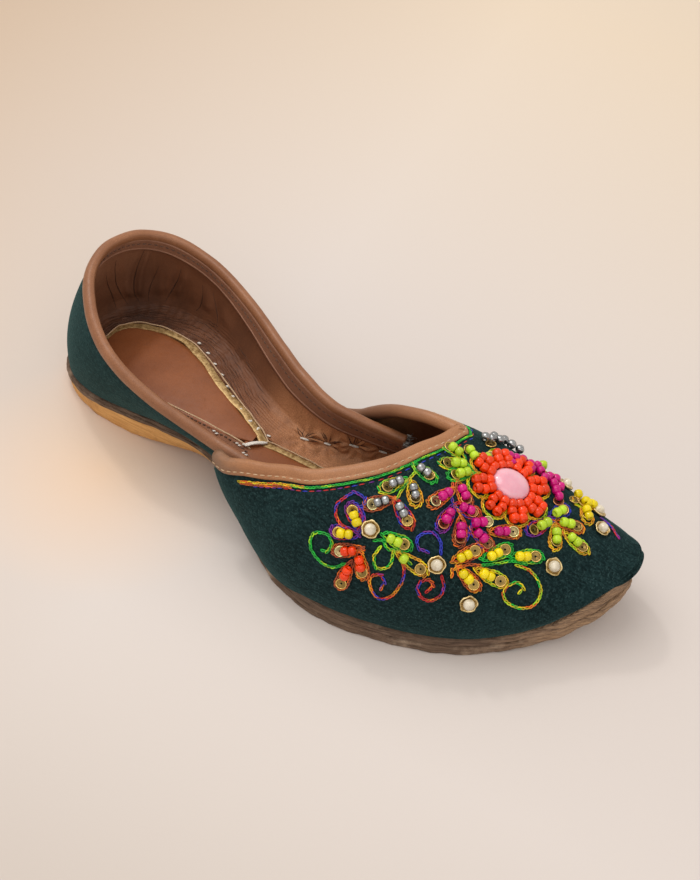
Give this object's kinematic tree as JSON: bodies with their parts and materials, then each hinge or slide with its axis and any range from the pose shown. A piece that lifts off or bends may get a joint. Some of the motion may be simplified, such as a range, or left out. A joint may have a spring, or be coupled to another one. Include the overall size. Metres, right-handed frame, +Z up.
{
  "type": "mojari shoe",
  "caption": "Flat slip-on shoe with a pointed, slightly lifted toe, beaded velvet vamp, low open quarter with rolled leather bindings, and a layered leather sole with a wedge heel.",
  "frame": {"origin": "middle of the shoe's box on the floor plane it stands on", "axes": "+X from heel to toe, +Y towards the medial (big-toe) side of this right shoe, +Z up"},
  "size_m": [0.2422, 0.0954, 0.0579],
  "materials": {
    "sole_leather": "matte edge",
    "rand_leather": "matte edge",
    "natural_leather": "matte",
    "insole_leather": "satin",
    "sock_leather": "satin",
    "velvet": "velvet pile",
    "binding_leather": "satin",
    "pink_stone": "gloss",
    "beads": "gloss",
    "thread": "satin thread",
    "gold_metal": "worn gold foil"
  },
  "bodies": {
    "root": {"outsole": "sole_leather", "rand": "rand_leather", "heel_lift": "natural_leather", "insole": "insole_leather", "heel_sock": "sock_leather", "quarter": "velvet", "vamp": "velvet", "collar_binding": "binding_leather", "throat_binding": "binding_leather", "centre_stone": "pink_stone"}
  },
  "joints": []
}
